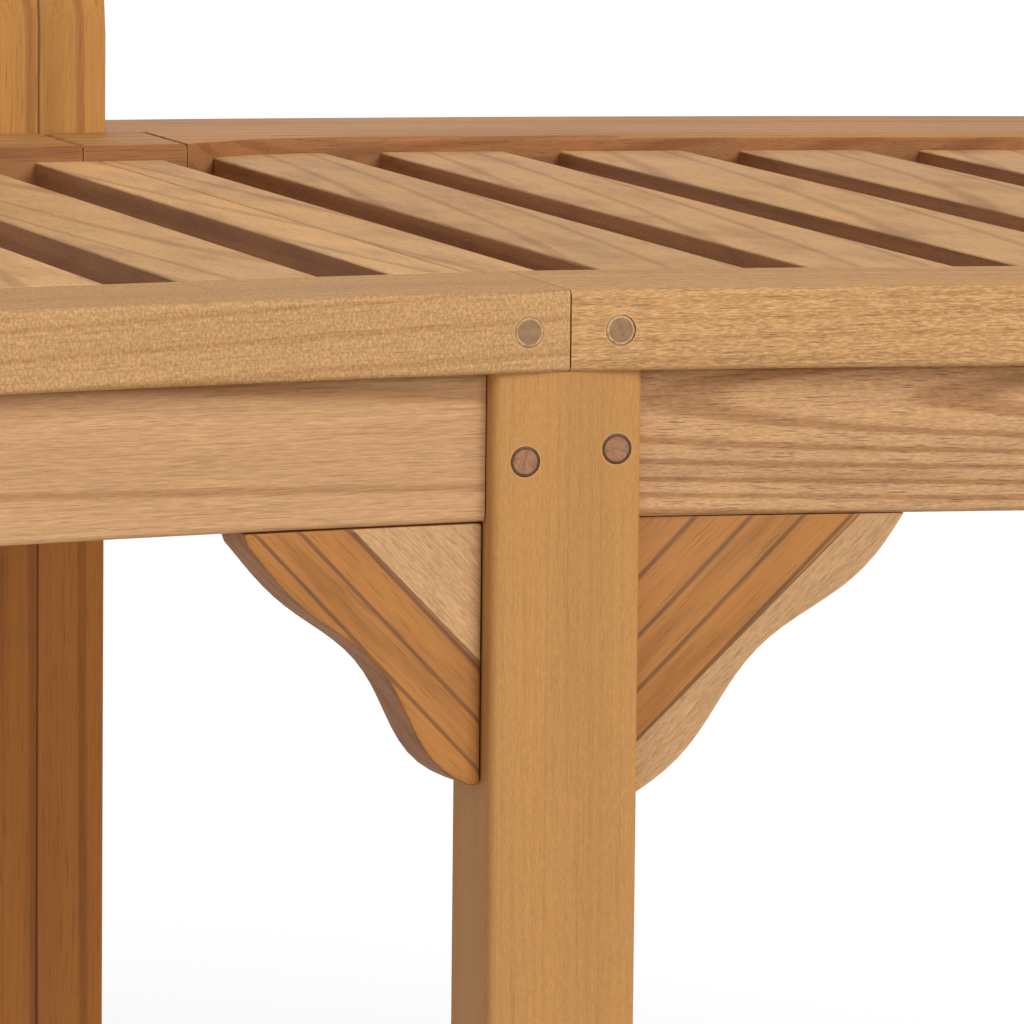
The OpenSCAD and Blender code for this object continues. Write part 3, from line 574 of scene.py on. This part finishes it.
class TEAKBENCH_OT_aprons(bpy.types.Operator):
    """Front and rear aprons"""

    bl_idname = "teakbench.aprons"
    bl_label = "Aprons"

    # The left front apron is quiet, with one wide ring, and the right one has close, strong arches
    FIGURE = {
        "left": dict(rings=0.40, coarse=4.0, swirl=6.0, late=0.88, tilt=1.2, flecks=0.3, fleck=(6, 0.5)),
        "right": dict(rings=0.50, coarse=1.4, swirl=10.0, pores=0.5, pith=(12, -24), flecks=0.4,
                      fleck=(2.5, 0.5), patches=0.8, patch=(150, 13), late=0.62, tilt=3.2),
    }

    def execute(self, context):
        for side, name in HALVES:
            timber("front_apron_" + name, "aprons", "teak_aprons", X, FRONT, 0, bend=side,
                   **self.FIGURE[name])
            timber("rear_apron_" + name, "aprons", "teak_rails", X, FRONT, 0, bend=side, tone=-0.1)
        return {"FINISHED"}


def shaded_faces_wood(piece, group, node, grain, face, chosen):
    """Gives the faces that chosen picks by their normal a darker wood of their own: painted shade on those
    sides, and on sawn sides partly their own darker tone as well.
    """
    wood = teak("oiled_heart_teak_" + node, group, centre_of(node), grain, face, node + " " + group)
    piece.data.materials.append(wood)
    for polygon in piece.data.polygons:
        if chosen(polygon.normal):
            polygon.material_index = len(piece.data.materials) - 1


class TEAKBENCH_OT_back_boards(bpy.types.Operator):
    """Back boards, rear strips and the blocks in front of the centre post"""

    bl_idname = "teakbench.back_boards"
    bl_label = "Back boards"

    def execute(self, context):
        fine = settings().sizes.fine_arris
        for side, name in HALVES:
            board = timber("back_board_" + name, "backs", "teak_back_boards", X, Z, fine, shortest=0.004,
                           bend=side)
            timber("rear_strip_" + name, "backs", "teak_back_boards", X, Z, 0, bend=side)
            block = timber("rear_block_" + name, "backs", "teak_back_boards", X, Z, 0, tone=-0.04)
            for piece, node in ((board, "back_board_" + name), (block, "rear_block_" + name)):
                # Their front faces get a darker wood: painted shade
                shaded_faces_wood(piece, "fronts", node, X, FRONT, lambda normal: normal.y < -0.7)
        return {"FINISHED"}


class TEAKBENCH_OT_rails(bpy.types.Operator):
    """Side rails, centre bearer and ledgers under the seat"""

    bl_idname = "teakbench.rails"
    bl_label = "Rails and ledgers"

    def execute(self, context):
        for side in SIDES:
            timber("side_rail_" + side, "rails", "teak_rails", Y, X, 0)
        timber("centre_bearer", "rails", "teak_rails", Y, Z, 0, keep=True)
        for place in ("front", "rear"):
            timber(place + "_ledgers", "rails", "teak_rails", X, FRONT, 0, keep=True)
        return {"FINISHED"}


def second_board(piece, node, out, joint, inner_pale):
    """Cuts a bracket's surface along the joint of its two boards and gives the paler board its own wood.

    joint is the distance of the joint, along the apron and down the leg, from the corner between the two.
    """
    low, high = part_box(node)
    corner = Vector((low.x if out > 0 else high.x, (low.y + high.y) / 2, high.z))
    normal = Vector((out, 0, -1)).normalized()
    on_joint = corner + Vector((out * joint, 0, 0))
    alone(piece)
    bpy.ops.object.mode_set(mode="EDIT")
    bpy.ops.mesh.select_all(action="SELECT")
    bpy.ops.mesh.bisect(plane_co=on_joint, plane_no=normal)
    bpy.ops.object.mode_set(mode="OBJECT")
    pale = teak("oiled_pale_teak_" + node, "bracket_pale", on_joint, (out, 0, 1), FRONT, node + " pale",
                glue_line=(normal, on_joint.dot(normal)))
    piece.data.materials.append(pale)
    # The bisected faces take the board on whose side they lie
    for face in piece.data.polygons:
        inside = (face.center - on_joint).dot(normal) < 0
        face.material_index = int(inside == inner_pale)


class TEAKBENCH_OT_brackets(bpy.types.Operator):
    """Shaped brackets, whose grain follows their slope"""

    bl_idname = "teakbench.brackets"
    bl_label = "Brackets"

    def execute(self, context):
        sizes = settings().sizes
        arris = sizes.arris
        for side, name in HALVES:
            for place, out in (("centre", side), ("end", -side)):
                node = "bracket_" + place + "_" + name
                piece = timber(node, "brackets", "teak_brackets", (out, 0, 1), FRONT, arris, shortest=0.003)
                inner_pale = node == "bracket_centre_left"
                joint = sizes.left_joint if inner_pale else sizes.right_joint
                second_board(piece, node, out, joint, inner_pale)
                # The brackets' edge faces get the darker side wood: painted shade
                shaded_faces_wood(piece, "slat_sides", node, Z, X, lambda normal: abs(normal.y) < 0.5)
        return {"FINISHED"}


class TEAKBENCH_OT_slats(bpy.types.Operator):
    """Seat slats, each its own plank"""

    bl_idname = "teakbench.slats"
    bl_label = "Seat slats"

    def execute(self, context):
        fine = settings().sizes.fine_arris
        for node in sorted(n for n in NODES if n.startswith(("slat_left", "slat_right", "half_slat"))):
            tone = random.Random(node + " tone").uniform(-0.10, 0.08)
            slat = timber(node, "slats", "teak_slats", Y, Z, fine, shortest=0.004, tone=tone)
            # The sides in the gaps get a darker wood: partly sawn-side tone, partly painted shade
            shaded_faces_wood(slat, "slat_sides", node, Y, X, lambda normal: abs(normal.x) > 0.8)
        return {"FINISHED"}


class TEAKBENCH_OT_arms(bpy.types.Operator):
    """Arms with round fronts"""

    bl_idname = "teakbench.arms"
    bl_label = "Arms"

    def execute(self, context):
        arris = settings().sizes.arris
        for side in SIDES:
            timber("armrest_" + side, "arms", "teak_arms", Y, Z, arris * 2, shortest=0.0)
        return {"FINISHED"}


class TEAKBENCH_OT_back_rest(bpy.types.Operator):
    """Back rest: top rails, low rails and upright slats"""

    bl_idname = "teakbench.back_rest"
    bl_label = "Back rest"

    def execute(self, context):
        fine = settings().sizes.fine_arris
        for side, name in HALVES:
            for rail in ("top_rail_", "low_back_rail_"):
                timber(rail + name, "rails", "teak_rails", X, FRONT, 0, bend=side)
            timber("back_slats_" + name, "slats", "teak_slats", Z, FRONT, fine, shortest=0.05)
        return {"FINISHED"}


# Pegs and screws

def islands(node):
    """Corner points of each separate solid of a CAD node, in the same order each time."""
    shape = bmesh.new()
    shape.from_mesh(NODES[node].data)
    bmesh.ops.remove_doubles(shape, verts=shape.verts, dist=MERGE)
    shape.verts.index_update()
    found, left = [], set(shape.verts)
    while left:
        group, edge = set(), [left.pop()]
        while edge:
            v = edge.pop()
            group.add(v)
            near = {e.other_vert(v) for e in v.link_edges} & left
            left -= near
            edge.extend(near)
        found.append([v.co.copy() for v in sorted(group, key=lambda v: v.index)])
    shape.free()
    return sorted(found, key=lambda points: tuple(round(c, 5) for c in sum(points, Vector()) / len(points)))


def axis_of(points):
    """Middle, direction and length of a round bar given by its rim points."""
    middle = sum(points, Vector()) / len(points)
    far = max(points, key=lambda p: (p - middle).length)
    # The far end's rim lies on far's side of the middle, nearer to it than the other end's rim
    reach = 1.2 * (far - middle).length
    end = [p for p in points if (p - far).length < reach and (p - middle).dot(far - middle) > 0]
    head = sum(end, Vector()) / len(end)
    return middle, (head - middle).normalized(), 2 * (head - middle).length


class TEAKBENCH_OT_pegs(bpy.types.Operator):
    """Pegs with eased rims and a ring of glue"""

    bl_idname = "teakbench.pegs"
    bl_label = "Pegs"

    def execute(self, context):
        sizes, woods = settings().sizes, settings().woods
        for node in ("board_pegs", "leg_pegs", "post_pegs"):
            low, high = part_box(node)
            group, glue = ("board_pegs", woods.pale_glue) if node == "board_pegs" else ("pegs", woods.glue)
            wood = teak("teak_end_grain_" + node, group, (low + high) / 2, Y, Z, node)
            ring = glue_finish("glue_" + node, list(glue))
            peg_group(node, sizes, (wood, ring))
        return {"FINISHED"}


def glue_finish(name, tint):
    """Hardened glue and oil: a little shinier than the wood, and uneven about every millimetre."""
    made, tree, shader = empty_material(name)
    place = add(tree, "ShaderNodeTexCoord").outputs["Object"]
    uneven = add(tree, "ShaderNodeTexNoise", {"Vector": place, "Scale": 900.0, "Detail": 2.0}).outputs["Fac"]
    shades = add(tree, "ShaderNodeValToRGB", {"Fac": uneven}, stops=(
        (0.3, [c * 0.7 for c in tint]), (0.7, [c * 1.5 for c in tint])))
    tree.links.new(shades.outputs["Color"], shader.inputs["Base Color"])
    shader.inputs["Roughness"].default_value = 0.45
    return made


def peg_group(node, sizes, woods):
    """All the pegs of one CAD node: one peg is modelled per solid, to that solid's radius and length.

    woods are the material of the peg and that of the glue ring at its rim.
    """
    made = []
    for points in islands(node):
        middle, axis, run = axis_of(points)
        radius = max((p - middle - axis * (p - middle).dot(axis)).length for p in points)
        bpy.ops.object.select_all(action="DESELECT")
        bpy.ops.mesh.primitive_cylinder_add(vertices=32, radius=radius, depth=run)
        peg = bpy.context.object
        for wood in woods:
            peg.data.materials.append(wood)
        bpy.ops.object.mode_set(mode="EDIT")
        bpy.ops.mesh.select_mode(type="FACE")
        select_faces(peg, lambda face: abs(face.normal.z) > 0.9)
        bpy.ops.mesh.bevel(offset=sizes.peg_round, segments=2, affect="EDGES")
        select_faces(peg, lambda face: abs(face.normal.z) > 0.99)
        bpy.ops.mesh.inset(thickness=sizes.peg_glue, use_individual=True)
        shape = bmesh.from_edit_mesh(peg.data)
        core = radius - sizes.peg_round - sizes.peg_glue
        for face in shape.faces:
            reach = face.calc_center_median().xy.length
            face.material_index = 1 if abs(face.normal.z) > 0.3 and reach > core * 0.98 else 0
            face.smooth = abs(face.normal.z) < 0.9
        bmesh.update_edit_mesh(peg.data)
        bpy.ops.object.mode_set(mode="OBJECT")
        peg.data.transform(Matrix.Translation(middle) @ axis.to_track_quat("Z", "Y").to_matrix().to_4x4())
        made.append(peg)
    return joined(made, node + "_eased", node)


def joined(parts, name, node):
    """Joins parts into one piece at the origin, which stands for the node."""
    bpy.ops.object.select_all(action="DESELECT")
    for part in parts:
        part.select_set(True)
    bpy.context.view_layer.objects.active = parts[0]
    if len(parts) > 1:
        bpy.ops.object.join()
    piece = bpy.context.view_layer.objects.active
    piece.name = name
    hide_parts(node)
    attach(piece, "root")
    return piece


class TEAKBENCH_OT_screws(bpy.types.Operator):
    """Stainless steel screws under the slats, with round sockets"""

    bl_idname = "teakbench.screws"
    bl_label = "Screws"

    def execute(self, context):
        sizes, woods = settings().sizes, settings().woods
        made = []
        for points in islands("slat_screws"):
            low = Vector(map(min, *points))
            high = Vector(map(max, *points))
            middle = (low + high) / 2
            radius = (high.x - low.x) / 2
            shank_points = [p for p in points if p.z > high.z - 1e-5]
            shank = max((p.xy - middle.xy).length for p in shank_points)
            shoulder = min(p.z for p in points if (p.xy - middle.xy).length < shank * 1.05)
            made.append(screw(middle.xy, low.z, shoulder, high.z, radius, shank, sizes))
        piece = joined(made, "slat_screws_with_sockets", "slat_screws")
        piece.data.materials.append(steel_finish("turned_stainless_steel", list(woods.steel)))
        return {"FINISHED"}


def screw(place, low, shoulder, high, radius, shank, sizes):
    """One screw, head down: a round head, a round socket in it and a plain shank."""
    bpy.ops.object.select_all(action="DESELECT")
    bpy.ops.mesh.primitive_cylinder_add(vertices=24, radius=radius, depth=shoulder - low)
    made = bpy.context.object
    half = (shoulder - low) / 2
    bpy.ops.object.mode_set(mode="EDIT")
    bpy.ops.mesh.select_mode(type="FACE")
    select_faces(made, lambda face: face.normal.z > 0.9)
    bpy.ops.mesh.inset(thickness=radius - shank)
    bpy.ops.mesh.extrude_region_move(TRANSFORM_OT_translate={"value": (0, 0, high - shoulder)})
    select_faces(made, lambda face: face.normal.z < -0.9)
    rim = radius * 0.15
    bpy.ops.mesh.bevel(offset=rim, segments=2, affect="EDGES")
    select_faces(made, lambda face: face.normal.z < -0.99 and face.calc_center_median().z < -half + 1e-6)
    bpy.ops.mesh.inset(thickness=radius - rim - sizes.socket / 2)
    bpy.ops.mesh.extrude_region_move(TRANSFORM_OT_translate={"value": (0, 0, sizes.socket_depth)})
    bpy.ops.object.mode_set(mode="OBJECT")
    bpy.ops.object.shade_smooth_by_angle(angle=SCREW_SMOOTH)
    made.data.transform(Matrix.Translation((*place, low + half)))
    return made


def steel_finish(name, tint):
    """Turned stainless steel: grey, with turning marks under a millimetre wide that blur its reflections."""
    made, tree, shader = empty_material(name)
    place = add(tree, "ShaderNodeTexCoord").outputs["Object"]
    marks = add(tree, "ShaderNodeTexNoise", {"Vector": place, "Scale": 1500.0, "Detail": 3.0}).outputs["Fac"]
    shades = add(tree, "ShaderNodeValToRGB", {"Fac": marks}, stops=(
        (0.3, [c * 0.85 for c in tint]), (0.7, tint)))
    tree.links.new(shades.outputs["Color"], shader.inputs["Base Color"])
    rough = add(tree, "ShaderNodeMapRange", {"Value": marks, "To Min": 0.22, "To Max": 0.42})
    tree.links.new(rough.outputs["Result"], shader.inputs["Roughness"])
    shader.inputs["Metallic"].default_value = 1.0
    return made


# Studio

# Each lamp's setting, the direction it shines from, and its width in degrees
LAMPS = (
    ("key", (0.40, -0.80, 0.62), 36),
    ("fill", (-0.85, -0.50, 0.35), 60),
    ("back", (-0.30, 0.85, 0.50), 60),
)
# What the camera sees of the floor: a share that keeps the bench's shadow, lifted to white by an even glow
FLOOR_SHADE = 0.30
FLOOR_GLOW = 0.78
# Sensor's width in millimetres, and how far the camera sees, in metres, which takes in the floor's far edge
SENSOR = 36
FAR_SIGHT = 400


class TEAKBENCH_OT_studio(bpy.types.Operator):
    """Pale floor, soft lamps and the camera"""

    bl_idname = "teakbench.studio"
    bl_label = "Studio"

    def execute(self, context):
        studio, woods = settings().studio, settings().woods
        bpy.ops.object.select_all(action="DESELECT")
        bpy.ops.mesh.primitive_plane_add(size=2 * studio.floor_half, location=(0, 0, 0))
        floor = context.object
        floor.name = "studio_floor"
        floor.data.materials.append(floor_finish(list(woods.floor)))
        sky(studio.sky)
        for name, towards, softness in LAMPS:
            lamp(name + "_lamp", getattr(studio, name), towards, softness)
        camera(studio)
        context.scene.view_settings.view_transform = "Standard"
        return {"FINISHED"}


def seen(tree):
    """1 for what the camera sees itself, or in gloss or through glass."""
    path = add(tree, "ShaderNodeLightPath")
    rays = [path.outputs[name] for name in ("Is Camera Ray", "Is Glossy Ray", "Is Transmission Ray")]
    either = add(tree, "ShaderNodeMath", {0: rays[0], 1: rays[1]}, operation="MAXIMUM").outputs[0]
    return add(tree, "ShaderNodeMath", {0: either, 1: rays[2]}, operation="MAXIMUM").outputs[0]


def sky(strength):
    """Even light from all round, and a white background."""
    world = bpy.data.worlds.new("studio_sky")
    bpy.context.scene.world = world
    world.use_nodes = True
    tree = world.node_tree
    tree.nodes.clear()
    level = add(tree, "ShaderNodeMapRange", {"Value": seen(tree), "To Min": strength, "To Max": 1.0})
    light = add(tree, "ShaderNodeBackground", {"Strength": level.outputs["Result"], "Color": (1, 1, 1)})
    add(tree, "ShaderNodeOutputWorld", {"Surface": light.outputs[0]})


def floor_finish(tint):
    """Matt white studio floor. What the camera sees is lifted to white, and the bench's shadow stays."""
    made, tree, shader = empty_material("matt_white_floor")
    tree.nodes.remove(shader)
    place = add(tree, "ShaderNodeTexCoord").outputs["Object"]
    mottle = add(tree, "ShaderNodeTexNoise", {"Vector": place, "Scale": 3.0, "Detail": 3.0}).outputs["Fac"]
    paint = add(tree, "ShaderNodeValToRGB", {"Fac": mottle}, stops=(
        (0.2, [c * 0.97 for c in tint]), (0.8, tint)))
    matt = add(tree, "ShaderNodeBsdfDiffuse", {"Color": paint.outputs["Color"]})
    partly = add(tree, "ShaderNodeBsdfDiffuse", {"Color": (FLOOR_SHADE, FLOOR_SHADE, FLOOR_SHADE)})
    lift = add(tree, "ShaderNodeEmission", {"Color": (1, 1, 1), "Strength": FLOOR_GLOW})
    both = add(tree, "ShaderNodeAddShader", {0: partly.outputs[0], 1: lift.outputs[0]})
    mixed = add(tree, "ShaderNodeMixShader", {0: seen(tree), 1: matt.outputs[0], 2: both.outputs[0]})
    end = next(n for n in tree.nodes if n.type == "OUTPUT_MATERIAL")
    tree.links.new(mixed.outputs[0], end.inputs["Surface"])
    return made


def lamp(name, strength, towards, softness):
    """A wide, soft lamp that shines from the given direction."""
    bpy.ops.object.select_all(action="DESELECT")
    bpy.ops.object.light_add(type="SUN", location=Vector(towards) * 3)
    made = bpy.context.object
    made.name = name
    made.data.energy = strength
    made.data.angle = math.radians(softness)
    made.rotation_mode = "QUATERNION"
    made.rotation_quaternion = Vector(towards).to_track_quat("Z", "Y")


def camera(studio):
    """The photograph's view, from the front left at a little above seat height."""
    low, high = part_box("front_leg_centre")
    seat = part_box("front_board_right")[1].z
    yaw, pitch, roll = studio.yaw, studio.pitch, studio.roll
    ahead = Vector((math.sin(yaw), math.cos(yaw), 0))
    right = Vector((math.cos(yaw), -math.sin(yaw), 0))
    up = Vector((0, 0, 1))
    look = ahead * math.cos(pitch) - up * math.sin(pitch)
    top = ahead * math.sin(pitch) + up * math.cos(pitch)
    rolled_right = right * math.cos(roll) + top * math.sin(roll)
    rolled_top = top * math.cos(roll) - right * math.sin(roll)
    turn = Matrix((rolled_right, rolled_top, -look)).transposed().to_4x4()
    origin = Vector(((low.x + high.x) / 2, (low.y + high.y) / 2, seat)) + Vector(studio.stand)
    bpy.ops.object.select_all(action="DESELECT")
    bpy.ops.object.camera_add()
    made = bpy.context.object
    made.name = "photo_camera"
    made.matrix_world = Matrix.Translation(origin) @ turn
    made.data.sensor_width = SENSOR
    made.data.lens = studio.lens
    made.data.clip_end = FAR_SIGHT
    bpy.context.scene.camera = made


class TEAKBENCH_PT_panel(bpy.types.Panel):
    """Lists the bench's pieces in the order in which they are built"""

    bl_label = "Teak Bench"
    bl_idname = "TEAKBENCH_PT_panel"
    bl_space_type = "VIEW_3D"
    bl_region_type = "UI"
    bl_category = "Teak Bench"

    def draw(self, context):
        for kind in OPERATORS:
            self.layout.operator(kind.bl_idname)
        for group in (settings().woods, settings().sizes, settings().studio):
            box = self.layout.box()
            for name in group.__annotations__:
                box.prop(group, name)


# In the order in which the bench is built
OPERATORS = (
    TEAKBENCH_OT_legs, TEAKBENCH_OT_posts, TEAKBENCH_OT_boards, TEAKBENCH_OT_aprons, TEAKBENCH_OT_back_boards,
    TEAKBENCH_OT_rails, TEAKBENCH_OT_brackets, TEAKBENCH_OT_slats, TEAKBENCH_OT_arms, TEAKBENCH_OT_back_rest,
    TEAKBENCH_OT_pegs, TEAKBENCH_OT_screws, TEAKBENCH_OT_studio,
)
CLASSES = (BenchWoodColours, BenchSizes, BenchStudio, BenchSettings, *OPERATORS, TEAKBENCH_PT_panel)


def register():
    for kind in CLASSES:
        bpy.utils.register_class(kind)
    bpy.types.Scene.teak_bench = PointerProperty(type=BenchSettings)


def unregister():
    del bpy.types.Scene.teak_bench
    for kind in reversed(CLASSES):
        bpy.utils.unregister_class(kind)


def main():
    """Builds the bench and its studio."""
    register()
    for kind in OPERATORS:
        group, name = kind.bl_idname.split(".")
        if getattr(getattr(bpy.ops, group), name)() != {"FINISHED"}:
            raise RuntimeError(kind.bl_idname + " did not finish")


if __name__ == "__main__":
    main()
